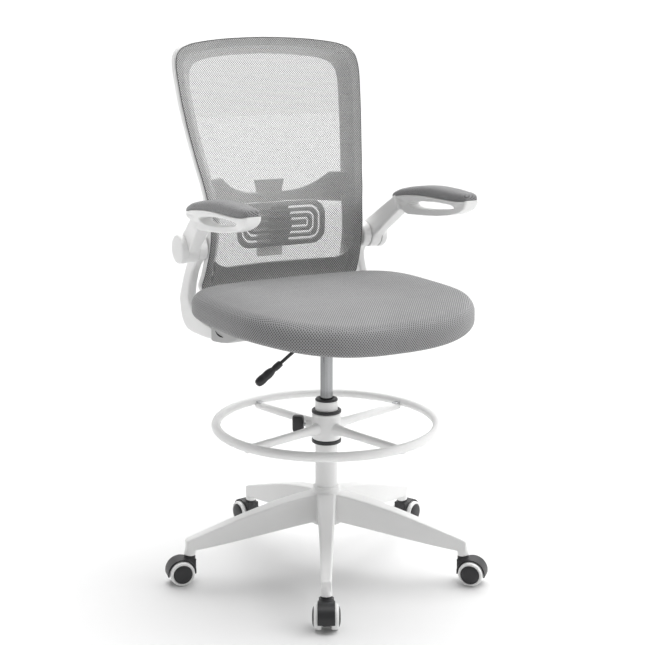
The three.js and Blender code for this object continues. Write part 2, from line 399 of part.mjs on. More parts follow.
// ---- foot ring ----
{
  const bore = TUBE_R + 0.35;
  add('foot_bush_upper', lathe([[bore, 361], [33, 361], [33, 366], [31.5, 367.4], [bore, 367.4]], 32), BLACK);
  add('foot_bush_lower', lathe([[bore, 291.6], [31.5, 291.6], [33, 293], [33, 300], [bore, 300]], 32), BLACK);
  let hub = lathe([[bore, FOOT_HUB_Z[0]], [31, FOOT_HUB_Z[0]], [FOOT_HUB_R, 302], [FOOT_HUB_R, 359], [31, FOOT_HUB_Z[1]], [bore, FOOT_HUB_Z[1]]], 32);
  const R1 = RING_R - RING_TUBE - GAP;
  for (const a of SPOKES) {
    const rows = [];
    for (const [r, w, h] of [[29, 12.5, 15], [60, 9.5, 11.5], [110, 9, 10], [R1 - 14, 9, 10], [R1 + 1.2, 8, 8.4]]) {
      const row = [];
      for (let i = 0; i < 8; i++) row.push([w * Math.cos(rad(45 * i)), -r, 334 + (RING_Z - 334) * (r / 240) + h * Math.sin(rad(45 * i))]);
      rows.push(row);
    }
    hub = hub.add(turned(loft(rows), BASE_TURN + a));
  }
  const [kx, ky] = headingVec(BASE_TURN + KNOB_AT);
  hub = hub.add(rod([kx * 29, ky * 29, 330], [kx * 46, ky * 46, 330], 10.5, 18));
  hub = hub.subtract(lathe([[0, 280], [bore, 280], [bore, 380], [0, 380]], 32));
  hub = hub.subtract(rod([kx * 20, ky * 20, 330], [kx * 60, ky * 60, 330], 4.35, 14));
  // ring seat: keep clear of the ring itself
  const tor = (r) => { const rows = []; for (let i = 0; i < 48; i++) { const a = 2 * Math.PI * i / 48, row = []; for (let j = 0; j < 8; j++) { const b = rad(45 * j); row.push([(RING_R + r * Math.cos(b)) * Math.cos(a), (RING_R + r * Math.cos(b)) * Math.sin(a), RING_Z + r * Math.sin(b)]); } rows.push(row); } return loft(rows, true); };
  hub = hub.subtract(tor(RING_TUBE + GAP));
  add('foot_hub', hub, WHITE);
  add('foot_ring', tor(RING_TUBE), POWDER);
  add('clamp_screw', rod([kx * 26, ky * 26, 330], [kx * 60, ky * 60, 330], 4, 14), STEEL);
  // wing knob
  const rows = [];
  for (const [r, hw, z0, z1] of [[47, 8, 318, 342], [50, 10.5, 313, 347], [62, 10.5, 311.5, 348.5], [72, 9, 314, 348.5], [76, 7, 322, 346]]) rows.push([[-hw, z0 + 3], [-hw + 3, z0], [hw - 3, z0], [hw, z0 + 3], [hw, z1 - 3], [hw - 3, z1], [-hw + 3, z1], [-hw, z1 - 3]].map(([x, z]) => [x, -r, z]));
  add('clamp_knob', turned(loft(rows), BASE_TURN + KNOB_AT).subtract(rod([kx * 40, ky * 40, 330], [kx * 60.3, ky * 60.3, 330], 4 + GAP, 14)), BLACK);
}

export default chair;
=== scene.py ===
import math
import bpy
import bmesh
import numpy as np
from mathutils import Matrix, Vector


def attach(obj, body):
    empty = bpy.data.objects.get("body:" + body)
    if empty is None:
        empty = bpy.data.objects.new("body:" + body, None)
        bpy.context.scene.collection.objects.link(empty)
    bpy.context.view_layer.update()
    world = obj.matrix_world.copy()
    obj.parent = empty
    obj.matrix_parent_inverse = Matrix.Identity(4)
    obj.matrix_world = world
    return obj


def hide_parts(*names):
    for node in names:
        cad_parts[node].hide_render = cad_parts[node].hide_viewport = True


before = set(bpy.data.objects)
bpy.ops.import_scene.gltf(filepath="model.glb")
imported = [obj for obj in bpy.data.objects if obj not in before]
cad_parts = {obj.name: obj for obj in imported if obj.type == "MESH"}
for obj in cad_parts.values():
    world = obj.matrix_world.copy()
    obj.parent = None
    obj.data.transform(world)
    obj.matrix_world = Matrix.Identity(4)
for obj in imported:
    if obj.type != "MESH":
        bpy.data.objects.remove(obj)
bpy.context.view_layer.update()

scene = bpy.context.scene

# ---------------------------------------------------------------- camera
cam_data = bpy.data.cameras.new("camera")
cam = bpy.data.objects.new("camera", cam_data)
scene.collection.objects.link(cam)
cam_data.sensor_width = 36.0
cam_data.lens = 74.63
cam.location = (-1.37417, -2.52171, 1.20035)
cam.rotation_euler = (math.radians(90 - 12.548), 0.0, math.radians(-29) + 0.0031)
scene.camera = cam
scene.view_settings.view_transform = "Standard"

# ---------------------------------------------------------------- stage and light
def area(name, loc, target, size, power, size_y=None, color=(1, 1, 1)):
    d = bpy.data.lights.new(name, "AREA")
    d.energy, d.color = power, color
    d.shape = "RECTANGLE"
    d.size, d.size_y = size, size_y or size
    o = bpy.data.objects.new(name, d)
    scene.collection.objects.link(o)
    o.location = loc
    o.rotation_euler = (Vector(target) - Vector(loc)).to_track_quat("-Z", "Y").to_euler()
    return o


world = bpy.data.worlds.new("studio")
scene.world = world
world.use_nodes = True
wt = world.node_tree
wc = wt.nodes.new("ShaderNodeTexCoord")
wd = wt.nodes.new("ShaderNodeVectorMath")
wd.operation = "DOT_PRODUCT"
wt.links.new(wc.outputs["Generated"], wd.inputs[0])
wd.inputs[1].default_value = (-0.80, -0.60, 0.0)
wm = wt.nodes.new("ShaderNodeMapRange")
wm.interpolation_type = "SMOOTHSTEP"
wt.links.new(wd.outputs["Value"], wm.inputs["Value"])
wm.inputs["From Min"].default_value, wm.inputs["From Max"].default_value = -0.25, 0.75
wm.inputs["To Min"].default_value, wm.inputs["To Max"].default_value = 1.05, 0.36
wz = wt.nodes.new("ShaderNodeSeparateXYZ")
wt.links.new(wc.outputs["Generated"], wz.inputs[0])
wh = wt.nodes.new("ShaderNodeMapRange")
wh.interpolation_type = "SMOOTHSTEP"
wt.links.new(wz.outputs[2], wh.inputs["Value"])
wh.inputs["From Min"].default_value, wh.inputs["From Max"].default_value = 0.12, 0.5
wh.inputs["To Min"].default_value, wh.inputs["To Max"].default_value = 1.0, 0.7
wx = wt.nodes.new("ShaderNodeMath")
wx.operation = "MULTIPLY"
wt.links.new(wm.outputs["Result"], wx.inputs[0])
wt.links.new(wh.outputs["Result"], wx.inputs[1])
wt.links.new(wx.outputs[0], wt.nodes["Background"].inputs["Strength"])
wt.nodes["Background"].inputs["Color"].default_value = (1, 1, 1, 1)
sun = bpy.data.lights.new("overhead", "SUN")
sun.energy, sun.angle = 2.7, 1.2
suno = bpy.data.objects.new("overhead", sun)
scene.collection.objects.link(suno)
suno.rotation_euler = (math.radians(-12), math.radians(16), 0)
area("key_right", (2.8, -1.4, 2.0), (0, 0, 0.6), 1.6, 26, 2.2)

# ---------------------------------------------------------------- materials
def mat(name, color, rough, metal=0.0, spec=0.5, coat=0.0, sheen=0.0):
    m = bpy.data.materials.new(name)
    m.use_nodes = True
    b = m.node_tree.nodes["Principled BSDF"]
    b.inputs["Base Color"].default_value = (*color, 1)
    b.inputs["Roughness"].default_value = rough
    b.inputs["Metallic"].default_value = metal
    b.inputs["Specular IOR Level"].default_value = spec
    b.inputs["Coat Weight"].default_value = coat
    b.inputs["Sheen Weight"].default_value = sheen
    return m, m.node_tree, b


def node(nt, kind, **props):
    n = nt.nodes.new(kind)
    for k, v in props.items():
        setattr(n, k, v)
    return n


def math_node(nt, op, a, b=None, c=None):
    n = node(nt, "ShaderNodeMath", operation=op)
    for i, v in enumerate((a, b, c)):
        if v is None:
            continue
        if isinstance(v, (int, float)):
            n.inputs[i].default_value = v
        else:
            nt.links.new(v, n.inputs[i])
    return n.outputs[0]


def ramp(nt, fac, stops):
    r = node(nt, "ShaderNodeValToRGB")
    e = r.color_ramp.elements
    e[0].position, e[0].color = stops[0][0], (*stops[0][1], 1)
    e[1].position, e[1].color = stops[-1][0], (*stops[-1][1], 1)
    for p, c in stops[1:-1]:
        x = e.new(p)
        x.color = (*c, 1)
    nt.links.new(fac, r.inputs["Fac"])
    return r.outputs["Color"]


def noise(nt, coord, scale, detail=4.0, rough=0.55, stretch=None):
    n = node(nt, "ShaderNodeTexNoise")
    n.inputs["Scale"].default_value = scale
    n.inputs["Detail"].default_value = detail
    n.inputs["Roughness"].default_value = rough
    if stretch:
        mp = node(nt, "ShaderNodeMapping")
        mp.inputs["Scale"].default_value = stretch
        nt.links.new(coord, mp.inputs["Vector"])
        coord = mp.outputs["Vector"]
    nt.links.new(coord, n.inputs["Vector"])
    return n.outputs["Fac"]


def bump(nt, b, height, strength, distance, prev=None):
    n = node(nt, "ShaderNodeBump")
    n.inputs["Strength"].default_value = strength
    n.inputs["Distance"].default_value = distance
    nt.links.new(height, n.inputs["Height"])
    if prev:
        nt.links.new(prev, n.inputs["Normal"])
    nt.links.new(n.outputs["Normal"], b.inputs["Normal"])
    return n.outputs["Normal"]


def shift(color, f):
    return tuple(min(1.0, max(0.0, c * f)) for c in color)


def moulded(name, color, rough, grain=2200.0, depth=0.00012, vary=0.05, spec=0.5, coat=0.0, wear=0.0):
    """Moulded plastic or paint: fine grain, slow change of tone, a little more shine where it is rubbed."""
    m, nt, b = mat(name, color, rough, spec=spec, coat=coat)
    co = node(nt, "ShaderNodeTexCoord").outputs["Object"]
    big = noise(nt, co, 9.0, 3.0)
    tone = ramp(nt, big, [(0.3, shift(color, 1 - vary)), (0.5, color), (0.72, shift(color, 1 + vary))])
    if wear:
        geo = node(nt, "ShaderNodeNewGeometry")
        edge = ramp(nt, geo.outputs["Pointiness"], [(0.52, (0, 0, 0)), (0.60, (1, 1, 1))])
        mix = node(nt, "ShaderNodeMix", data_type="RGBA")
        nt.links.new(math_node(nt, "MULTIPLY", edge, wear), mix.inputs["Factor"])
        nt.links.new(tone, mix.inputs["A"])
        mix.inputs["B"].default_value = (*shift(color, 2.6 if max(color) < 0.3 else 0.85), 1)
        tone = mix.outputs["Result"]
    nt.links.new(tone, b.inputs["Base Color"])
    rub = noise(nt, co, 30.0, 5.0)
    rr = node(nt, "ShaderNodeMapRange")
    nt.links.new(rub, rr.inputs["Value"])
    rr.inputs["To Min"].default_value = rough - 0.06
    rr.inputs["To Max"].default_value = rough + 0.07
    nt.links.new(rr.outputs["Result"], b.inputs["Roughness"])
    bump(nt, b, noise(nt, co, grain, 2.0), 0.35, depth)
    return m


def metal_grain_and_painted_reflection(name, color, rough, metal=1.0, stretch=(1, 1, 40), depth=0.00003, lines=300.0, span=(0.9, 1.06)):
    m, nt, b = mat(name, color, rough, metal)
    co = node(nt, "ShaderNodeTexCoord").outputs["Object"]
    # tone streaks along the stretched noise: brushed grain on steel; the chrome's wide, strong vertical streaks are
    # painted reflection
    line = noise(nt, co, lines, 3.0, stretch=stretch)
    tone = ramp(nt, line, [(0.3, shift(color, span[0])), (0.7, shift(color, span[1]))])
    nt.links.new(tone, b.inputs["Base Color"])
    rr = node(nt, "ShaderNodeMapRange")
    nt.links.new(noise(nt, co, 45.0, 4.0), rr.inputs["Value"])
    rr.inputs["To Min"].default_value = max(0.02, rough - 0.05)
    rr.inputs["To Max"].default_value = rough + 0.08
    nt.links.new(rr.outputs["Result"], b.inputs["Roughness"])
    bump(nt, b, line, 0.2, depth)
    return m


def threads3(nt, tc, k, centre, reach, squash=0.8):
    """The net laid flat on top and wrapped round the sides about a centre, blended where the surface turns down."""
    co = tc.outputs["Object"]
    p = node(nt, "ShaderNodeSeparateXYZ")
    nt.links.new(co, p.inputs[0])
    px = math_node(nt, "SUBTRACT", p.outputs[0], centre[0])
    py = math_node(nt, "SUBTRACT", centre[1], p.outputs[1])
    turn = math_node(nt, "ARCTAN2", px, py)
    turns = max(1, round(k * reach)) / k
    arc = math_node(nt, "MULTIPLY", turn, turns)
    side = node(nt, "ShaderNodeCombineXYZ")
    nt.links.new(arc, side.inputs[0])
    nt.links.new(p.outputs[2], side.inputs[1])
    flat = threads(nt, co, [(1, squash, 0), (1, -squash, 0)], k)
    wall = threads(nt, side.outputs[0], [(1, squash, 0), (1, -squash, 0)], k)
    n = node(nt, "ShaderNodeSeparateXYZ")
    nt.links.new(tc.outputs["Normal"], n.inputs[0])
    up = node(nt, "ShaderNodeMapRange", interpolation_type="SMOOTHSTEP")
    nt.links.new(math_node(nt, "ABSOLUTE", n.outputs[2]), up.inputs["Value"])
    up.inputs["From Min"].default_value, up.inputs["From Max"].default_value = 0.6, 0.85
    mix = node(nt, "ShaderNodeMix")
    nt.links.new(up.outputs["Result"], mix.inputs["Factor"])
    nt.links.new(wall, mix.inputs["A"])
    nt.links.new(flat, mix.inputs["B"])
    return mix.outputs["Result"]


def threads(nt, co, dirs, k):
    """0 on the threads, 1 in the middle of the holes between them. dirs are the directions counted across."""
    out = None
    for d in dirs:
        v = node(nt, "ShaderNodeVectorMath", operation="DOT_PRODUCT")
        nt.links.new(co, v.inputs[0])
        v.inputs[1].default_value = tuple(x * k for x in d)
        s = math_node(nt, "ABSOLUTE", math_node(nt, "SINE", v.outputs["Value"]))
        out = s if out is None else math_node(nt, "MULTIPLY", out, s)
    return out


def upholstery(name, light, dark, k, centre=(0.012, -0.0654), reach=0.262, hole=(0.25, 0.7), depth=0.0006, vary=0.05):
    """Air-mesh upholstery: a diagonal net of threads over a darker ground."""
    m, nt, b = mat(name, light, 0.85, spec=0.25, sheen=0.25)
    b.inputs["Sheen Roughness"].default_value = 0.5
    tc = node(nt, "ShaderNodeTexCoord")
    co = tc.outputs["Object"]
    w = threads3(nt, tc, k, centre, reach)
    mr = node(nt, "ShaderNodeMapRange", interpolation_type="SMOOTHSTEP")
    nt.links.new(w, mr.inputs["Value"])
    mr.inputs["From Min"].default_value, mr.inputs["From Max"].default_value = hole
    fibre = noise(nt, co, 1500.0, 3.0)
    slow = noise(nt, co, 14.0, 4.0)
    tl = ramp(nt, slow, [(0.3, shift(light, 1 - vary)), (0.7, shift(light, 1 + vary))])
    mx = node(nt, "ShaderNodeMix", data_type="RGBA")
    nt.links.new(mr.outputs["Result"], mx.inputs["Factor"])
    nt.links.new(tl, mx.inputs["A"])
    mx.inputs["B"].default_value = (*dark, 1)
    mf = node(nt, "ShaderNodeMix", data_type="RGBA", blend_type="MULTIPLY")
    mf.inputs["Factor"].default_value = 0.5
    nt.links.new(mx.outputs["Result"], mf.inputs["A"])
    nt.links.new(ramp(nt, fibre, [(0.25, (0.72, 0.72, 0.72)), (0.75, (1, 1, 1))]), mf.inputs["B"])
    nt.links.new(mf.outputs["Result"], b.inputs["Base Color"])
    h = math_node(nt, "ADD", math_node(nt, "SUBTRACT", 1.0, w), math_node(nt, "MULTIPLY", fibre, 0.3))
    bump(nt, b, h, 0.8, depth)
    return m


def net(name, color, k, cover, depth=0.0004, base_alpha=0.0):
    """See-through net: crossing threads with open holes."""
    m, nt, b = mat(name, color, 0.7, spec=0.3, sheen=0.1)
    co = node(nt, "ShaderNodeTexCoord").outputs["Object"]
    w = threads(nt, co, [(1, 0, 0.92), (1, 0, -0.92)], k)
    # the weave is closer below the lumbar support, and the threads there get painted shade (colour times about 0.76)
    # for the shade between seat and back
    xyz = node(nt, "ShaderNodeSeparateXYZ")
    nt.links.new(co, xyz.inputs[0])
    low = node(nt, "ShaderNodeMapRange", interpolation_type="SMOOTHSTEP")
    nt.links.new(xyz.outputs[2], low.inputs["Value"])
    low.inputs["From Min"].default_value, low.inputs["From Max"].default_value = 0.765, 0.815
    low.inputs["To Min"].default_value, low.inputs["To Max"].default_value = 1.0, 0.0
    mr = node(nt, "ShaderNodeMapRange", interpolation_type="SMOOTHSTEP")
    nt.links.new(math_node(nt, "SUBTRACT", w, math_node(nt, "MULTIPLY", low.outputs["Result"], 0.12)), mr.inputs["Value"])
    mr.inputs["From Min"].default_value, mr.inputs["From Max"].default_value = cover
    mr.inputs["To Min"].default_value, mr.inputs["To Max"].default_value = 1.0, base_alpha
    nt.links.new(mr.outputs["Result"], b.inputs["Alpha"])
    slow = noise(nt, co, 12.0, 3.0)
    fibre = noise(nt, co, 1700.0, 2.0)
    tone = ramp(nt, math_node(nt, "ADD", math_node(nt, "MULTIPLY", slow, 0.5), math_node(nt, "MULTIPLY", fibre, 0.5)),
                [(0.3, shift(color, 0.82)), (0.7, shift(color, 1.18))])
    # painted shade: below the lumbar support the thread colour is multiplied towards dark grey, standing in for the
    # shade cast by the seat
    painted_shade = node(nt, "ShaderNodeMix", data_type="RGBA", blend_type="MULTIPLY")
    nt.links.new(math_node(nt, "MULTIPLY", low.outputs["Result"], 0.3), painted_shade.inputs["Factor"])
    nt.links.new(tone, painted_shade.inputs["A"])
    painted_shade.inputs["B"].default_value = (0.2, 0.2, 0.2, 1)
    nt.links.new(painted_shade.outputs["Result"], b.inputs["Base Color"])
    bump(nt, b, math_node(nt, "SUBTRACT", 1.0, w), 0.8, depth)
    return m


WHITE = moulded("white_plastic", (0.86, 0.86, 0.855), 0.36, depth=0.00006, vary=0.012, wear=0.0)
POWDER = moulded("white_powder", (0.86, 0.86, 0.855), 0.4, grain=900.0, depth=0.00012, vary=0.012)
BLACK = moulded("black_plastic", (0.022, 0.022, 0.024), 0.42, grain=1600.0, depth=0.00015, vary=0.2, wear=0.25)
STEELBLACK = moulded("black_steel", (0.03, 0.03, 0.032), 0.38, grain=700.0, depth=0.0002, vary=0.2, wear=0.4)
RUBBER = moulded("rubber", (0.025, 0.025, 0.025), 0.8, grain=900.0, depth=0.0002, vary=0.2)
SHELL = moulded("grey_shell", (0.42, 0.42, 0.42), 0.5, grain=900.0, depth=0.0002, vary=0.04)
STEEL = metal_grain_and_painted_reflection("zinc_steel", (0.5, 0.51, 0.52), 0.34)
# painted reflection: vertical light and dark streaks about 14 mm wide in the chrome's colour stand in for reflected
# surroundings
CHROME = metal_grain_and_painted_reflection("chrome", (0.30, 0.305, 0.31), 0.14, stretch=(1, 1, 0.02), depth=0.00001, lines=70.0, span=(0.55, 1.35))
SEATFAB = upholstery("seat_fabric", (0.36, 0.36, 0.365), (0.085, 0.085, 0.085), 600.0, hole=(0.3, 0.75), depth=0.0005)
PADFAB = upholstery("pad_fabric", (0.335, 0.335, 0.34), (0.08, 0.08, 0.08), 900.0, hole=(0.3, 0.75), depth=0.0003)
NET = net("back_net", (0.19, 0.19, 0.192), 620.0, (0.205, 0.35))
EDGING = moulded("grey_edging", (0.12, 0.12, 0.122), 0.7, grain=1800.0, depth=0.0002, vary=0.1)

# ---------------------------------------------------------------- shape helpers
SH = np.array([12.0, -21.0, 0.0])


def rad(d):
    return math.radians(d)


def heading(deg):
    return math.sin(rad(deg)), -math.cos(rad(deg))


def catmull(pts, n, closed=False):
    """Evenly spaced points on a centripetal curve: n + 1 of them, or n if it is closed."""
    P = np.array(pts, float)
    L = len(P)
    segs = L if closed else L - 1
    dense = []
    for i in range(segs):
        if closed:
            p0, p1, p2, p3 = P[(i - 1) % L], P[i], P[(i + 1) % L], P[(i + 2) % L]
        else:
            p0 = P[i - 1] if i > 0 else 2 * P[0] - P[1]
            p1, p2 = P[i], P[i + 1]
            p3 = P[i + 2] if i + 2 < L else 2 * P[-1] - P[-2]
        d = [max(1e-4, np.sum((b - a) ** 2) ** 0.25) for a, b in ((p0, p1), (p1, p2), (p2, p3))]
        t1 = ((p1 - p0) / d[0] - (p2 - p0) / (d[0] + d[1]) + (p2 - p1) / d[1]) * d[1]
        t2 = ((p2 - p1) / d[1] - (p3 - p1) / (d[1] + d[2]) + (p3 - p2) / d[2]) * d[1]
        for t in np.linspace(0, 1, 24, endpoint=False):
            c2, c3 = -3 * p1 + 3 * p2 - 2 * t1 - t2, 2 * p1 - 2 * p2 + t1 + t2
            dense.append(p1 + t1 * t + c2 * t * t + c3 * t ** 3)
    dense.append(P[0] if closed else P[-1])
    D = np.array(dense)
    s = np.concatenate([[0], np.cumsum(np.linalg.norm(np.diff(D, axis=0), axis=1))])
    at = np.linspace(0, s[-1], n + 1)
    out = np.stack([np.interp(at, s, D[:, k]) for k in range(D.shape[1])], 1)
    return out[:-1] if closed else out


def fillet(pts, r, n=4, closed=False):
    """Rounds the corners of a polyline."""
    P = [np.array(p, float) for p in pts]
    out = []
    L = len(P)
    for i, p in enumerate(P):
        if not closed and i in (0, L - 1):
            out.append(p)
            continue
        a, b = P[(i - 1) % L] - p, P[(i + 1) % L] - p
        la, lb = np.linalg.norm(a), np.linalg.norm(b)
        q = min(r, la * 0.45, lb * 0.45)
        s, e = p + a / la * q, p + b / lb * q
        for t in np.linspace(0, 1, n + 1):
            out.append((1 - t) ** 2 * s + 2 * t * (1 - t) * p + t * t * e)
    return out


def loft(rows, ring=False, caps=True):
    rows = np.array(rows, float)
    m, n = rows.shape[:2]
    v = [tuple(p) for r in rows for p in r]
    f = []
    for i in range(m if ring else m - 1):
        for j in range(n):
            a, b = i * n + j, i * n + (j + 1) % n
            c, d = ((i + 1) % m) * n + (j + 1) % n, ((i + 1) % m) * n + j
            f.append((a, b, c, d))
    if caps and not ring:
        f.append(tuple(range(n - 1, -1, -1)))
        f.append(tuple((m - 1) * n + j for j in range(n)))
    return v, f


def lathe(profile, seg=96, matrix=None, closed=None):
    """profile [r, z] about Z. It closes on itself unless both its ends are on the axis."""
    on = profile[0][0] == 0 and profile[-1][0] == 0
    rows = []
    for i in range(seg):
        a = 2 * math.pi * i / seg
        rows.append([(r * math.cos(a), r * math.sin(a), z) for r, z in profile])
    n = len(profile)
    v = [p for r in rows for p in r]
    f = []
    for i in range(seg):
        k = (i + 1) % seg
        for j in range(n if not on else n - 1):
            l = (j + 1) % n
            f.append((i * n + j, i * n + l, k * n + l, k * n + j))
    if matrix is not None:
        v = [tuple(matrix @ Vector(p)) for p in v]
    return v, f


def along(p, q):
    """Matrix that takes +Z at the origin to the line from p towards q."""
    d = Vector(q) - Vector(p)
    return Matrix.Translation(p) @ d.to_track_quat("Z", "Y").to_matrix().to_4x4()


def rod(p, q, r, seg=48, r2=None, edge=0.0):
    L = (Vector(q) - Vector(p)).length
    r2 = r if r2 is None else r2
    pr = [(0, 0), (r, 0), (r2, L), (0, L)]
    if edge:
        pr = [tuple(x) for x in fillet(pr, edge, 4)]
    pr = [(0.0 if i in (0, len(pr) - 1) else x[0], x[1]) for i, x in enumerate(pr)]
    return lathe(pr, seg, along(p, q))


def tube(pts, r, seg=16, closed=False):
    """Round bar along points. r is one radius or one for each point."""
    P = [Vector(p) for p in pts]
    L = len(P)
    rr = r if hasattr(r, "__len__") else [r] * L
    rows = []
    up = None
    for i in range(L):
        a = P[(i + 1) % L] if closed or i < L - 1 else P[i]
        b = P[(i - 1) % L] if closed or i > 0 else P[i]
        t = (a - b).normalized()
        if up is None:
            up = Vector((0, 0, 1)) if abs(t.z) < 0.9 else Vector((1, 0, 0))
        u = (up - t * up.dot(t)).normalized()
        up = u
        w = t.cross(u)
        rows.append([tuple(P[i] + u * rr[i] * math.cos(2 * math.pi * j / seg) + w * rr[i] * math.sin(2 * math.pi * j / seg)) for j in range(seg)])
    return loft(rows, ring=closed)


def slab(outline, axis, lo, hi, holes=(), edge=1.2, move=None, res=3):
    """A flat outline with rounded edges, pushed along an axis: 'x' takes [y, z], 'y' takes [x, z], 'z' takes [x, y]."""
    cu = bpy.data.curves.new("slab", "CURVE")
    cu.dimensions, cu.fill_mode = "2D", "BOTH"
    half = (hi - lo) / 2
    cu.extrude = half - edge
    cu.bevel_depth, cu.bevel_resolution = edge, res
    cu.offset = -edge
    for o in (outline, *holes):
        s = cu.splines.new("POLY")
        s.points.add(len(o) - 1)
        for p, q in zip(s.points, o):
            p.co = (q[0], q[1], 0, 1)
        s.use_cyclic_u = True
    ob = bpy.data.objects.new("slab", cu)
    scene.collection.objects.link(ob)
    dg = bpy.context.evaluated_depsgraph_get()
    me = bpy.data.meshes.new_from_object(ob.evaluated_get(dg), depsgraph=dg)
    bm = bmesh.new()
    bm.from_mesh(me)
    bmesh.ops.remove_doubles(bm, verts=bm.verts, dist=0.002)
    mid = (hi + lo) / 2
    v = []
    for p in bm.verts:
        a, b, c = p.co.x, p.co.y, p.co.z + mid
        q = (c, a, b) if axis == "x" else (a, c, b) if axis == "y" else (a, b, c)
        v.append(tuple(move(q)) if move else q)
    f = [tuple(x.index for x in face.verts) for face in bm.faces]
    bm.free()
    bpy.data.objects.remove(ob)
    bpy.data.meshes.remove(me)
    bpy.data.curves.remove(cu)
    return v, f


def box(x0, x1, y0, y1, z0, z1, edge=1.5):
    return slab([(x0, y0), (x1, y0), (x1, y1), (x0, y1)], "z", z0, z1, edge=min(edge, (z1 - z0) / 2.2))


def turned(shape, deg):
    c, s = math.cos(rad(deg)), math.sin(rad(deg))
    return [(x * c - y * s, x * s + y * c, z) for x, y, z in shape[0]], shape[1]


def mirrored(shape):
    return [(-x, y, z) for x, y, z in shape[0]], [tuple(reversed(f)) for f in shape[1]]


def make(name, shapes, material, smooth=40.0, weld=True):
    """One object from several shapes in millimetres."""
    v, f = [], []
    for s in shapes:
        o = len(v)
        v += list(s[0])
        f += [tuple(i + o for i in q) for q in s[1]]
    v = (np.array(v, float) + SH) / 1000.0
    me = bpy.data.meshes.new(name)
    me.from_pydata([tuple(p) for p in v], [], f)
    bm = bmesh.new()
    bm.from_mesh(me)
    if weld:
        bmesh.ops.remove_doubles(bm, verts=bm.verts, dist=1e-6)
        bmesh.ops.dissolve_degenerate(bm, dist=1e-7, edges=bm.edges)
    bmesh.ops.recalc_face_normals(bm, faces=bm.faces)
    bm.to_mesh(me)
    bm.free()
    me.materials.append(material)
    me.validate()
    ob = bpy.data.objects.new(name, me)
    scene.collection.objects.link(ob)
    shade(ob, smooth)
    return ob


def shade(ob, angle):
    ob.data.shade_smooth()
    if angle is not None:
        ob.data.set_sharp_from_angle(angle=rad(angle))


def bake(ob, angle=None):
    dg = bpy.context.evaluated_depsgraph_get()
    dg.update()
    me = bpy.data.meshes.new_from_object(ob.evaluated_get(dg), depsgraph=dg)
    old = ob.data
    ob.modifiers.clear()
    ob.data = me
    bpy.data.meshes.remove(old)
    me.name = ob.name
    shade(ob, angle)
    return ob


def fuse(name, shapes, material, voxel=1.5, rounds=6, factor=0.5):
    """The shapes joined in one skin, with softened corners."""
    ob = make(name, shapes, material, None)
    m = ob.modifiers.new("join", "REMESH")
    m.mode, m.voxel_size, m.use_smooth_shade = "VOXEL", voxel / 1000.0, True
    s = ob.modifiers.new("soften", "SMOOTH")
    s.factor, s.iterations = factor, rounds
    bake(ob)
    ob.data.materials.clear()
    ob.data.materials.append(material)
    return ob


def place(ob, body, slot=None, *nodes):
    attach(ob, body)
    if nodes:
        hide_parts(*nodes)
    return ob


def keep(name, material, bevel=0.0, angle=35.0):
    """A CAD node that shows, with its finish and rounded edges."""
    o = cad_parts[name]
    o.data.materials.clear()
    o.data.materials.append(material)
    if bevel:
        b = o.modifiers.new("edges", "BEVEL")
        b.width, b.segments, b.limit_method, b.angle_limit = bevel / 1000.0, 3, "ANGLE", rad(angle)
        b.harden_normals = False
    w = o.modifiers.new("normals", "WEIGHTED_NORMAL")
    w.keep_sharp = True
    return o


def rounded_rect(hw, hh, r, n=5):
    """Corner-rounded rectangle about 0, 0, anticlockwise."""
    o = []
    for cx, cy, a0 in ((hw - r, hh - r, 0), (-hw + r, hh - r, 90), (-hw + r, -hh + r, 180), (hw - r, -hh + r, 270)):
        for i in range(n + 1):
            a = rad(a0 + 90 * i / n)
            o.append((cx + r * math.cos(a), cy + r * math.sin(a)))
    return o


def screw(p, d, r=4.0, h=2.6):
    """Socket head: a short rounded disc with a six-sided hole."""
    m = along(p, (p[0] + d[0], p[1] + d[1], p[2] + d[2]))
    pr = [(0, 0), (r, 0), (r, h * 0.75), (r * 0.86, h), (r * 0.5, h), (r * 0.46, h * 0.4), (0, h * 0.4)]
    return lathe(pr, 24, m)


# ---------------------------------------------------------------- base
BASE_TURN = -29
STEM_R, TRAIL, WHEEL_R = 316.6, 20.5, 27.0


def leg_shape():
    st = [(27.5, 177.4, 111.6, 20.4, 18.9), (34, 176.2, 110.6, 20.2, 18.7), (60, 172, 107, 19.5, 18), (120, 160, 98, 17.6, 15.5),
          (190, 141, 87, 15, 13), (260, 119, 77.5, 12.8, 11.6), (300, 106, 73.5, 11.7, 11.3), (318, 99.8, 72.2, 11.2, 11.1), (324, 96, 72, 10.4, 10.6)]
    A = np.array(st, float)
    C = catmull(A, 60)
    rows = []
    for r, zt, zb, wt, wb in C:
        e = 4.0
        base = fillet([(-wt, zt), (-wb, zb), (wb, zb), (wt, zt)], e, 5, closed=True)
        rows.append([(x, -r, z) for x, z in base])
    return loft(rows)


leg = leg_shape()
shapes = [lathe([tuple(p) for p in fillet([(24.4, 104), (34, 104), (37.2, 108), (34, 150), (30.5, 180), (29.6, 188), (24.4, 188.6)], 2, 4)], 128)]
for i in range(5):
    shapes.append(turned(leg, BASE_TURN + 72 * i))
    hx, hy = heading(BASE_TURN + 72 * i)
    shapes.append(rod((hx * STEM_R, hy * STEM_R, 62.6), (hx * (STEM_R - 4), hy * (STEM_R - 4), 94), 12.9, 48, 10.6, edge=1.2))
star = fuse("base_star_skin", shapes, WHITE, 1.5, 5)
place(star, "base", "white_plastic", "base_star")

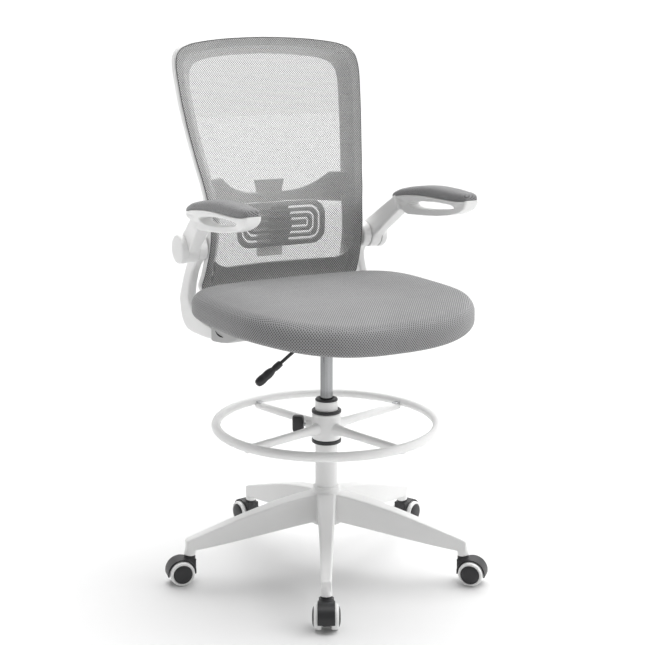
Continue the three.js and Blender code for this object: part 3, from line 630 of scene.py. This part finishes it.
tube_pr = [tuple(p) for p in fillet([(23.2, 120), (25, 120), (25, 388), (23.2, 388)], 0.9, 4, closed=True)]
place(make("column_tube_skin", [lathe(tube_pr, 128)], POWDER), "base", "white_steel", "column_tube")
lip = [tuple(p) for p in fillet([(24.9, 187.6), (29.4, 187.6), (29.4, 190.6), (26.2, 192.4), (24.9, 192.4)], 1.0, 4, closed=True)]
place(make("hub_lip", [lathe(lip, 128)], WHITE), "base", "white_plastic")
bush = [tuple(p) for p in fillet([(14.3, 330), (22.7, 330), (22.7, 388.2), (25.2, 388.2), (25.2, 391), (23.4, 393), (18.4, 393), (17.4, 391.2), (14.3, 391.2)], 0.7, 4, closed=True)]
place(make("guide_bush_skin", [lathe(bush, 96)], BLACK), "base", "black_plastic", "guide_bush")
keep("thrust_bearing", STEEL)

# ---------------------------------------------------------------- casters
AY = -(STEM_R + TRAIL)


def ring_pts(r, a0, a1, n):
    return [(AY + r * math.cos(rad(a)), WHEEL_R + r * math.sin(rad(a))) for a in np.linspace(a0, a1, n)]


hood_parts = [
    slab(ring_pts(31.6, -8, 192, 60) + ring_pts(28.4, 192, -8, 60), "x", -18, 18, edge=0.9),
    slab(ring_pts(31.0, 2, 70, 20) + [(-STEM_R - 12.4, 56.4), (-STEM_R + 11.6, 56.4), (-STEM_R + 11.2, 27)], "x", -15.5, 15.5, edge=2.2),
    slab(ring_pts(20.0, 0, 352, 45), "x", -8.4, 8.4, edge=1.0),
    slab([(AY - 24, 34), (AY + 26, 26), (AY + 26, 54), (AY - 12, 56.5)], "x", -8.4, 8.4, edge=1.0),
    rod((0, -STEM_R, 50), (0, -STEM_R, 61.6), 12.6, 64, edge=0.8),
]
hood_mesh = fuse("hood_master", hood_parts, BLACK, 0.9, 4)
master = (np.array([v.co[:] for v in hood_mesh.data.vertices]) * 1000.0 - SH, [tuple(p.vertices) for p in hood_mesh.data.polygons])
bpy.data.objects.remove(hood_mesh)
tyre_pr = [tuple(p) for p in fillet([(6, 10.0), (25.6, 10.0), (27, 11.6), (27, 21.6), (25.6, 24.9), (23.6, 25.6), (20.9, 25.2), (20.9, 22.6), (6, 22.6)], 1.4, 5, closed=True)]
dome = [(0, 23.0), (20.6, 23.0)] + [(20.6 * math.cos(rad(a)) ** 0.8, 25.2 + 4.2 * math.sin(rad(a))) for a in np.linspace(0, 86, 16)] + [(0, 29.4)]
TO_X = Matrix.Rotation(math.pi / 2, 4, "Y")
TYRE = lathe(tyre_pr, 96, Matrix.Translation((0, AY, WHEEL_R)) @ TO_X)
DOME = lathe(dome, 96, Matrix.Translation((0, AY, WHEEL_R)) @ TO_X)
for k in range(1, 6):
    turn = BASE_TURN + 72 * (k - 1)
    place(make(f"caster_hood_skin_{k}", [turned(master, turn)], BLACK, None), f"caster_{k}", "black_plastic", f"caster_hood_{k}")
    keep(f"caster_axle_{k}", STEEL)
    keep(f"caster_stem_{k}", STEEL)
    for side, mir in (("left", True), ("right", False)):
        t, d = (mirrored(TYRE), mirrored(DOME)) if mir else (TYRE, DOME)
        place(make(f"caster_tyre_{side}_{k}", [turned(t, turn)], WHITE), f"wheel_{side}_{k}", "white_plastic", f"caster_wheel_{side}_{k}")
        place(make(f"caster_cap_{side}_{k}", [turned(d, turn)], BLACK, 50), f"wheel_{side}_{k}", "black_plastic")

# ---------------------------------------------------------------- gas lift
for n in ("piston_rod", "retaining_clip", "release_pin"):
    keep(n, STEEL)
cyl = [tuple(p) for p in fillet([(11.2, 268), (14, 268), (14, 528), (11.2, 528)], 0.8, 3, closed=True)]
place(make("gas_cylinder_skin", [lathe(cyl, 128)], CHROME), "lift", "chrome", "gas_cylinder")

# ---------------------------------------------------------------- tilt mechanism and levers
keep("tilt_housing", STEELBLACK, 1.6)
keep("torsion_bush", RUBBER)
keep("tilt_pin", STEEL, 0.6)
knob_rows = []
for i, (y, s) in enumerate([(-97.8, 0.72), (-97.8, 0.86), (-96.4, 0.95), (-93, 1.0), (-78, 1.0), (-74, 0.96), (-72.2, 0.88), (-72.2, 0.5)]):
    knob_rows.append([((19.6 + 1.5 * math.cos(6 * a)) * s * math.cos(a), y, 535 + (19.6 + 1.5 * math.cos(6 * a)) * s * math.sin(a)) for a in np.linspace(0, 2 * math.pi, 96, endpoint=False)])
place(make("tension_knob_skin", [loft(knob_rows), rod((0, -74, 532), (0, -60, 532), 5, 32)], BLACK, 50), "tension", "black_plastic", "tension_knob")
path = catmull([(-1, 0, 537.2), (-22, -14, 539), (-40, -30, 538.5), (-60, -30, 538), (-84, -30, 525), (-137, -30, 489)], 70)
place(make("lever_rod_skin", [tube(path, 3.8, 20)], STEELBLACK), "lever", "black_steel", "lever_rod")
gd = Vector((-45, 0, -31)).normalized()
g0 = Vector((-128, -30, 495.1))
gp = catmull([(5.2, 0), (6.5, 0.6), (7.2, 5), (7.5, 15), (6.5, 22), (8.6, 28), (10.0, 38), (9.5, 46), (10.3, 56), (9.4, 64), (6.6, 69.4), (2.6, 71)], 60)
prof = [(0, 1.0)] + [(float(r), float(t)) for r, t in gp] + [(0, 71.2)]
place(make("lever_grip_skin", [lathe(prof, 64, along(g0, g0 + gd))], BLACK, 60), "lever", "black_plastic", "lever_grip")

# ---------------------------------------------------------------- seat
S = dict(a=280, bf=266, br=238.4, yc=-44.4, zt=638.4, th=58, rt=28.7, rb=14, nf=2.6, nr=4.5, drop=25.7, crown=3)


def drop_at(y):
    f = min(1.2, max(0.0, (-(y - S["yc"]) / S["bf"] - 0.35) / 0.65))
    return S["drop"] * f * f


def outline(d, k, count):
    o = []
    for i in range(count):
        t = 2 * math.pi * i / count
        c, s = math.cos(t), math.sin(t)
        n, b = (S["nf"], S["bf"]) if s < 0 else (S["nr"], S["br"])
        o.append((k * (S["a"] - d) * math.copysign(abs(c) ** (2 / n), c), S["yc"] + k * (b - d) * math.copysign(abs(s) ** (2 / n), s)))
    return o


def even(pts, n):
    """The closed outline, evenly spaced."""
    P = np.array(list(pts) + [pts[0]], float)
    s = np.concatenate([[0], np.cumsum(np.linalg.norm(np.diff(P, axis=0), axis=1))])
    at = np.linspace(0, s[-1], n, endpoint=False)
    return np.stack([np.interp(at, s, P[:, k]) for k in range(2)], 1)


def seat_row(d, z, k=1.0, n=180, droop=1.0):
    return [(x, y, z - droop * drop_at(y)) for x, y in even(outline(d, k, 720), n)]


zb = S["zt"] - S["th"]
rows = [seat_row(42, zb + 0.6, 0.15), seat_row(42, zb + 0.6, 0.5), seat_row(42, zb + 0.4, 0.85), seat_row(40, zb + 0.4)]
for q in np.linspace(0, 90, 9):
    rows.append(seat_row(S["rb"] * (1 - math.sin(rad(q))), zb + 0.4 + S["rb"] * (1 - math.cos(rad(q)))))
for q in np.linspace(0, 90, 16):
    rows.append(seat_row(S["rt"] * (1 - math.cos(rad(q))), S["zt"] - S["rt"] * (1 - math.sin(rad(q)))))
for k, c in ((0.94, 0.7), (0.86, 1.5), (0.75, 2.2), (0.62, 2.7), (0.48, 3.0), (0.32, 3.1), (0.15, 3.1)):
    rows.append(seat_row(S["rt"] * (k ** 2), S["zt"] + c, k))
cushion = make("seat_cushion_skin", [loft(rows)], SEATFAB, None)
place(cushion, "seat", "seat_fabric", "seat_cushion")

pan_rows = []
for d, z, k in [(46, 568.2, 0.15), (46, 568.2, 0.6), (48, 568.2, 1.0), (45.4, 568.9, 1.0), (43, 570.6, 1.0), (41, 573, 1.0), (40, 575.6, 1.0), (40, 579.2, 1.0), (41, 579.2, 0.6), (41, 579.2, 0.15)]:
    pan_rows.append(seat_row(d, z, k))
place(make("seat_pan_skin", [loft(pan_rows)], SHELL, 50), "seat", "seat_shell", "seat_pan")
keep("seat_plate", STEELBLACK, 1.4)
bolts = [screw((x, y, 556), (0, 0, -1), 6.0, 4.0) for x in (-70, 70) for y in (-58, 60)]
place(make("seat_plate_bolts", bolts, STEEL), "seat", "steel")

# ---------------------------------------------------------------- arm brackets, caps
PIV = (206.0, 717.0)


def bshift(z):
    return 20.7 + max(0.0, min(1.0, (682 - z) / 82)) * 17.3


rear_c = catmull([(230, 706), (249, 684), (257, 655), (260, 620), (259, 585), (249, 553), (226, 534.5), (150, 530.5), (60, 538), (-14, 550)], 70)
front_c = catmull([(-14, 560), (60, 561), (120, 564), (150, 567), (186, 578), (205, 596), (214, 622), (217, 650), (211, 675), (190, 696)], 70)
for s, side in ((-1, "left"), (1, "right")):
    brow = []
    for i in range(71):
        r, f = rear_c[i], front_c[70 - i]
        mid, d = (r + f) / 2, (r - f)
        L = np.linalg.norm(d) / 2
        u = d / (2 * L)
        sec = rounded_rect(9.9, L, min(5.0, L * 0.9), 5)
        brow.append([(200 + bshift(mid[1] + u[1] * b) - 10 + a, mid[0] + u[0] * b, mid[1] + u[1] * b) for a, b in sec])
    foot = slab([(88, 556.4), (232, 550.6), (232, 562), (214, 567.4), (88, 567.4)], "y", -10, 170, edge=1.4)
    parts = [loft(brow), rod((200.8, *PIV), (220.8, *PIV), 29, 96, edge=1.6), foot]
    b = fuse(f"arm_bracket_skin_{side}", parts if s > 0 else [mirrored(p) for p in parts], WHITE, 1.5, 5)
    place(b, "seat", "white_plastic", f"arm_bracket_{side}")
    cp = [(0, 247.9), (31.4, 247.9), (32.2, 248.9), (32.2, 259.6), (31.4, 262), (29.4, 263.4), (26.6, 264), (20, 264.3), (0, 264.5)]
    pr = [(0.0 if i == 0 else p[0], p[1]) for i, p in enumerate(fillet(cp, 1.0, 4))]
    pr[-1] = (0.0, pr[-1][1])
    cap = lathe(pr, 128, Matrix.Translation((0, *PIV)) @ TO_X)
    pin = rod((206, *PIV), (249, *PIV), 8, 48)
    place(make(f"arm_cap_skin_{side}", [cap, pin] if s > 0 else [mirrored(cap), mirrored(pin)], WHITE, 50), "seat", "white_plastic", f"arm_pivot_cap_{side}")
    sc = [screw((x, y, 556.2 - (x - 88) * 0.0403), (0, 0, -1), 5.0, 3.0) for x, y in ((104, 10), (104, 80), (104, 150), (150, 10), (150, 150))]
    place(make(f"bracket_screws_{side}", sc if s > 0 else [mirrored(q) for q in sc], STEEL), "seat", "steel")

for s, side in ((-1, "left"), (1, "right")):
    lobe = slab(fillet([(68, 578), (-92, 578), (-78, 572), (-50, 560.5), (-14, 548), (20, 541.8), (60, 537), (68, 538)], 6, 4), "x", 158, 246.4, edge=3.0)
    parts = [lobe]
    place(make(f"bracket_cover_{side}", parts if s > 0 else [mirrored(q) for q in parts], SHELL, 40), "seat", "seat_shell")
    slot = tube(catmull([(246.2, 44, 563.5), (246.6, 36, 559), (246.6, 20, 556.6), (246.2, 4, 557.4)], 16), [0.5 + 1.3 * math.sin(math.pi * i / 16) for i in range(17)], 10)
    place(make(f"cover_slot_{side}", [slot if s > 0 else mirrored(slot)], RUBBER, 60), "seat", "rubber")

# ---------------------------------------------------------------- armrests
ARM_X, PAD_W = 258.0, 26.0


def pad_half(y):
    t = (y + 24) / 150
    return PAD_W * math.sqrt(max(0.3, 1 - 0.62 * abs(t) ** 5))


SHELL_TOP = [(127, 811.0), (92, 819), (50, 825), (0, 829.6), (-45, 831.4), (-104, 831.4), (-140, 831.6), (-162, 833.2), (-175, 836)]
SHELL_LOW = [(-173, 829), (-165.5, 818), (-147, 808), (-111, 798), (-57, 789), (20, 782), (62, 779)]
_ty, _tz = [q[0] for q in SHELL_TOP][::-1], [q[1] for q in SHELL_TOP][::-1]
EYE = [(58, 804), (40, 798), (0, 798), (-60, 803.5), (-110, 810.5), (-132, 816.5), (-125, 820.6), (-91, 821.6), (-12, 817), (30, 811.4)]
top_c, low_c = catmull(SHELL_TOP, 60), catmull(SHELL_LOW, 60)
shell_out = [tuple(p) for p in top_c] + [tuple(p) for p in low_c[1:]] + [(80, 783), (100, 793), (121, 801.5), (127, 806)]
eye_c = [tuple(p) for p in catmull(EYE, 80, True)]


def grid_slab(outer, hole, half, x_mid):
    """Shell between an outline and its eye: rounded section all the way round."""
    O = even(outer, 240)
    H = even(hole, 240)
    # start both loops at the point farthest forward and run them the same way round
    def ccw(P):
        a = np.sum(P[:, 0] * np.roll(P[:, 1], -1) - np.roll(P[:, 0], -1) * P[:, 1])
        return P if a > 0 else P[::-1]
    O, H = ccw(O), ccw(H)
    O = np.roll(O, -int(np.argmin(O[:, 0])), axis=0)
    H = np.roll(H, -int(np.argmin(H[:, 0])), axis=0)
    # pair the two evenly spaced loops point for point, in order
    rows = []
    for o, h in zip(O, H):
        d = o - h
        L = np.linalg.norm(d)
        u = d / max(L, 1e-6)
        m = (o + h) / 2
        w = half(m[0])
        sec = rounded_rect(w, L / 2, min(4.5, L * 0.42), 5)
        row = []
        for a, b in sec:
            y, z = m[0] + u[0] * b, m[1] + u[1] * b
            top = float(np.interp(y, _ty, _tz))
            deep = max(0.0, min(1.0, (top - 5 - z) / 22.0))
            row.append((x_mid + a * half(y) / w * (1 - 0.42 * deep * deep * (3 - 2 * deep)), y, z))
        rows.append(row)
    return loft(rows, ring=True)


PAD_AT = [-128, -110, -80, -27, 20, 57, 105, 150, 172]
PAD_T = [8.5, 12.0, 15.5, 19.0, 21.0, 22.0, 21.4, 18.0, 13.5]
for s, side in ((-1, "left"), (1, "right")):
    shell = grid_slab(shell_out, eye_c, lambda y: pad_half(y) - 0.2, ARM_X)
    bars = []
    for t in np.linspace(0, 1, 25):
        cx, hw = 234.5 + 14.5 * t ** 1.2, 12.8 + 4.4 * math.sin(math.pi / 2 * t)
        lift = 2.5 + 5.2 * t
        cy, cz, w = 200 + (88 - 200) * t + 0.546 * lift, 724 + (797 - 724) * t + 0.838 * lift, 28 + (18.4 - 28) * t ** 0.7
        nx, nz = 73 / 133.7, 112 / 133.7
        bars.append([(cx + a, cy + nx * b, cz + nz * b) for a, b in rounded_rect(hw, w, 5.5, 5)])
    parts = [rod((221.6, *PIV), (247.4, *PIV), 31, 96, edge=1.4), loft(bars), shell]
    a = fuse(f"armrest_skin_{side}", parts if s > 0 else [mirrored(p) for p in parts], WHITE, 1.4, 4)
    place(a, f"arm_{side}", "white_plastic", f"armrest_{side}")
    prow = []
    ys = 128 + (-172 - 128) * (0.5 - 0.5 * np.cos(np.linspace(0.0, math.pi, 80)))
    zs = np.interp(-ys, [-q[0] for q in SHELL_TOP], [q[1] for q in SHELL_TOP])
    for y, z in zip(ys, zs):
        end = max(0.0, min(1.0, min(128.0 - y, y + 172.0) / 10.0))
        tip = math.sqrt(max(0.0, 1 - (1 - end) ** 2))
        hw, t = (pad_half(y) - 0.6) * (0.62 + 0.38 * tip), float(np.interp(-y, PAD_AT, PAD_T)) * (0.3 + 0.7 * tip)
        n = 28
        sec = []
        for j in range(n + 1):
            a = math.pi * j / n
            c, q = math.cos(a), math.sin(a)
            sec.append((ARM_X + hw * math.copysign(abs(c) ** 0.55, c), y, z + 0.6 + t * abs(q) ** 0.62))
        for j in range(1, 6):
            sec.append((ARM_X - hw + 2 * hw * j / 6, y, z + 0.6))
        prow.append(sec)
    pad = loft(prow)
    p = make(f"arm_pad_skin_{side}", [pad if s > 0 else mirrored(pad)], PADFAB, 60)
    place(p, f"arm_{side}", "seat_fabric", f"arm_pad_{side}")

# ---------------------------------------------------------------- back
BACK_Z = [598, 640, 660, 680, 700, 720, 751, 780, 810, 828, 860, 900, 940, 980, 1020, 1060, 1090, 1111, 1147, 1173]
BACK_Y = [232, 207, 196.6, 188.8, 181.4, 176.4, 172.2, 174.2, 178.6, 181.5, 191.2, 204.7, 217.6, 229.5, 240.2, 249.8, 257, 263, 273, 280]
_c = catmull(list(zip(BACK_Z, BACK_Y)), 300)


def back_y(x, z):
    w = 200 + max(0.0, min(30.0, (z - 800) * 0.12))
    return float(np.interp(z, _c[:, 0], _c[:, 1])) + 20 * (1 - min(1.2, (x / w) ** 2))


BACK_EDGE = [(0, 602), (60, 602.4), (120, 603.4), (168, 606), (190, 612), (199, 626), (198.4, 642), (197.2, 660), (196, 680), (194.6, 700),
             (193.4, 720), (192.7, 750), (193.2, 780), (195.2, 810), (198.4, 836), (202.4, 866), (208.4, 900), (214.6, 940), (220.3, 980),
             (225, 1020), (228.4, 1060), (230.4, 1090), (230.2, 1112), (226, 1132), (214, 1147.5), (187, 1158.5), (150, 1164.8), (100, 1169.6),
             (50, 1172), (0, 1173)]
halfc = catmull(BACK_EDGE, 150)
loop = [tuple(p) for p in halfc] + [(-p[0], p[1]) for p in halfc[1:-1][::-1]]
CZ = 887.5


def off(p, u):
    return p[0] * (1 - u / 205), CZ + (p[1] - CZ) * (1 - u / 286)


section = fillet([(-2.4, 4.4), (17, 4.4), (20.5, 9), (38, 30), (36, 34), (10, 34), (2, 29.5), (-2.4, 21)], 3.0, 4, closed=True)
frame_rows = []
for p in loop:
    row = []
    for u, v in section:
        x, z = off(p, u)
        row.append((x, back_y(x, z) + v, z))
    frame_rows.append(row)
ring = loft(frame_rows, ring=True)
band = []
for x in np.linspace(-188, 188, 65):
    t = abs(x)
    y, zh, zl = 275 - 66 * (t / 186) ** 2, min(822 + 56 * (t / 150) ** 3, 866), 800 - 6 * (t / 186) ** 2
    band.append([(x, y + a, (zh + zl) / 2 + b) for a, b in rounded_rect(3.6, (zh - zl) / 2, 3.0, 4)])
spine = slab(fillet([(-39, 852), (-33, 828), (-33, 671), (33, 671), (33, 828), (39, 852)], 4, 4, closed=True), "y", 272, 282, edge=2.4)
low_rows = []
for x in np.linspace(-172, 172, 61):
    top = 667 + 16 * max(0.0, (abs(x) - 138) / 34) ** 2
    zz = np.linspace(607, top, 9)
    low_rows.append([(x, back_y(x, z) + 5.2, z) for z in zz] + [(x, back_y(x, z) + 13.0 + (4 if abs(z - top) < 4 else 0), z) for z in zz[::-1]])
plate = loft(low_rows)
tab = slab(fillet([(-44, 1136), (44, 1136), (52, 1160), (-52, 1160)], 4, 4, closed=True), "y", 322, 333.6, edge=2.4)
ears = [slab(fillet([(194, 692), (228, 692), (228, 742), (194, 742)], 5, 4, closed=True), "x", 184, 200, edge=1.6)]
ears.append(mirrored(ears[0]))
bf = fuse("back_frame_skin", [ring, loft(band), spine, plate, tab, *ears], WHITE, 1.6, 5)
place(bf, "seat", "white_plastic", "back_frame")
studs = [screw((x, 281.8, z), (0, 1, 0), 5.0, 3.0) for x, z in ((-120, 645), (-60, 645), (60, 645), (120, 645))]
place(make("back_screws", studs, STEEL), "seat", "steel")

# net: one curved sheet, edge to edge
us = np.concatenate([np.linspace(0.6, 40, 14), np.linspace(52, 190, 13)])
net_rows = []
for u in us:
    net_rows.append([(x, back_y(x, z) + 1.2 + 1.6 * (0.0 if u > 4 else (1 - u / 4)), z) for x, z in (off(p, u) for p in loop)])
nv, nf = loft(net_rows, caps=False)
nf.append(tuple((len(us) - 1) * len(loop) + j for j in range(len(loop))))
netob = make("back_net_skin", [(nv, nf)], NET, None)
bm = bmesh.new()
bm.from_mesh(netob.data)
bm.faces.ensure_lookup_table()
big = [f for f in bm.faces if len(f.verts) > 4]
bmesh.ops.triangulate(bm, faces=big)
bm.to_mesh(netob.data)
bm.free()
shade(netob, None)
place(netob, "seat", "back_fabric", "back_mesh")
pts = [(x, back_y(x, z) + 2.2, z) for x, z in (off(p, 0.2) for p in loop)]
edging = make("back_edging", [tube(pts, 1.0, 10, closed=True)], EDGING, None)
place(edging, "seat", "back_fabric")

# lumbar pad on its slider
pad_out = rounded_rect(113, 51.5, 34, 10)
pad_out = [(x, z + 754.5) for x, z in pad_out]
holes = []
for s in (-1, 1):
    for k in range(3):
        o, w = 12 + 14 * k, 5.5
        x1, x0, z1, z0, r = 113 - o, 22 + 4 * k, 806 - o, 703 + o, max(6, 26 - 9 * k)

        def arc(rx):
            q = [(x1 - r + (r - rx) * math.cos(rad(90 - 10 * i)), z1 - r + (r - rx) * math.sin(rad(90 - 10 * i))) for i in range(10)]
            return q + [(x1 - r + (r - rx) * math.cos(rad(-10 * i)), z0 + r + (r - rx) * math.sin(rad(-10 * i))) for i in range(10)]
        pts = [(x0, z1), *arc(0), (x0, z0), (x0, z0 + w), *arc(w)[::-1], (x0, z1 - w)]
        pts = [(s * x, z) for x, z in pts]
        holes.append(pts if s > 0 else pts[::-1])
lp = slab(pad_out, "y", 221.2, 226.8, holes=holes, edge=1.0, move=lambda q: (q[0], q[1] - 10 * (q[0] / 113) ** 2, q[2]))
place(make("lumbar_pad_skin", [lp], WHITE, 35), "lumbar", "white_plastic", "lumbar_pad")
keep("lumbar_slider", WHITE, 2.0)

# ---------------------------------------------------------------- foot ring
for nm, z0, z1, flip in (("upper", 361, 367.4, False), ("lower", 291.6, 300, True)):
    r0 = 25.35
    pr = [(r0, z0), (33, z0), (33, z1 - 1.4), (31.2, z1), (r0, z1)] if not flip else [(r0, z0), (31.2, z0), (33, z0 + 1.4), (33, z1), (r0, z1)]
    pr = [tuple(p) for p in fillet(pr, 0.7, 3, closed=True)]
    place(make(f"foot_bush_skin_{nm}", [lathe(pr, 96)], BLACK), "foot_slide", "black_plastic", f"foot_bush_{nm}")
RING_R, RING_T, RING_Z = 245.8, 10.2, 336.0
hub_pr = [tuple(p) for p in fillet([(25.6, 300.4), (31, 300.4), (32, 302), (32, 359), (31, 360.6), (25.6, 360.6)], 0.8, 4, closed=True)]
SPOKES = [-45, 43, 135, -137]
foot_parts = [lathe(hub_pr, 128)]
for a in SPOKES:
    C = catmull([(30.5, 12.5, 14), (38, 11.2, 12.6), (60, 9.5, 10.5), (110, 9, 9.4), (200, 8.8, 9.2), (238.5, 8.4, 8.6)], 24)
    rows = [[(w * math.cos(t), -r, 326.5 + h * math.sin(t)) for t in np.linspace(0, 2 * math.pi, 28, endpoint=False)] for r, w, h in C]
    foot_parts.append(turned(loft(rows), BASE_TURN + a))
kx, ky = heading(BASE_TURN - 98)
foot_parts.append(rod((kx * 29, ky * 29, 330), (kx * 46, ky * 46, 330), 10.5, 48, edge=1.0))
fh = fuse("foot_hub_skin", foot_parts, WHITE, 1.1, 4)
place(fh, "foot", "white_plastic", "foot_hub")
rp = [(RING_R * math.cos(t), RING_R * math.sin(t), RING_Z) for t in np.linspace(0, 2 * math.pi, 240, endpoint=False)]
place(make("foot_ring_skin", [tube(rp, RING_T, 36, closed=True)], POWDER, None), "foot", "white_steel", "foot_ring")
tips = []
for a in SPOKES:
    t = slab(fillet([(-6.4, -236.5), (6.4, -236.5), (6.4, -222), (-6.4, -222)], 2.0, 3, closed=True), "z", 334.6, 336.6, edge=0.6)
    tips.append(turned(t, BASE_TURN + a))
place(make("spoke_plates", tips, STEEL), "foot", "steel")
keep("clamp_screw", STEEL)
crow = []
for r, hw, z0, z1 in catmull([(51.6, 7.0, 316, 343), (52.4, 8.0, 313, 346), (54, 10.0, 311, 348), (58, 10.4, 310.4, 349), (64, 10.4, 310.2, 349.4), (71, 9.6, 311.4, 349.4), (75, 8.0, 314.4, 348.6), (76, 6.6, 318, 346.8)], 28):
    crow.append([(a, -r, (z0 + z1) / 2 + b) for a, b in rounded_rect(hw, (z1 - z0) / 2, min(4.0, hw * 0.7), 5)])
place(make("clamp_knob_skin", [turned(loft(crow), BASE_TURN - 98)], BLACK, 50), "clamp", "black_plastic", "clamp_knob")

# ---------------------------------------------------------------- floor
fl = bpy.data.meshes.new("floor")
R0 = 14.0
fl.from_pydata([(-R0, -R0, 0), (R0, -R0, 0), (R0, R0, 0), (-R0, R0, 0)], [], [(0, 1, 2, 3)])
floor = bpy.data.objects.new("floor", fl)
scene.collection.objects.link(floor)
fm, fnt, fb = mat("floor_paint", (0.80, 0.80, 0.80), 0.7, spec=0.2)
fl.materials.append(fm)
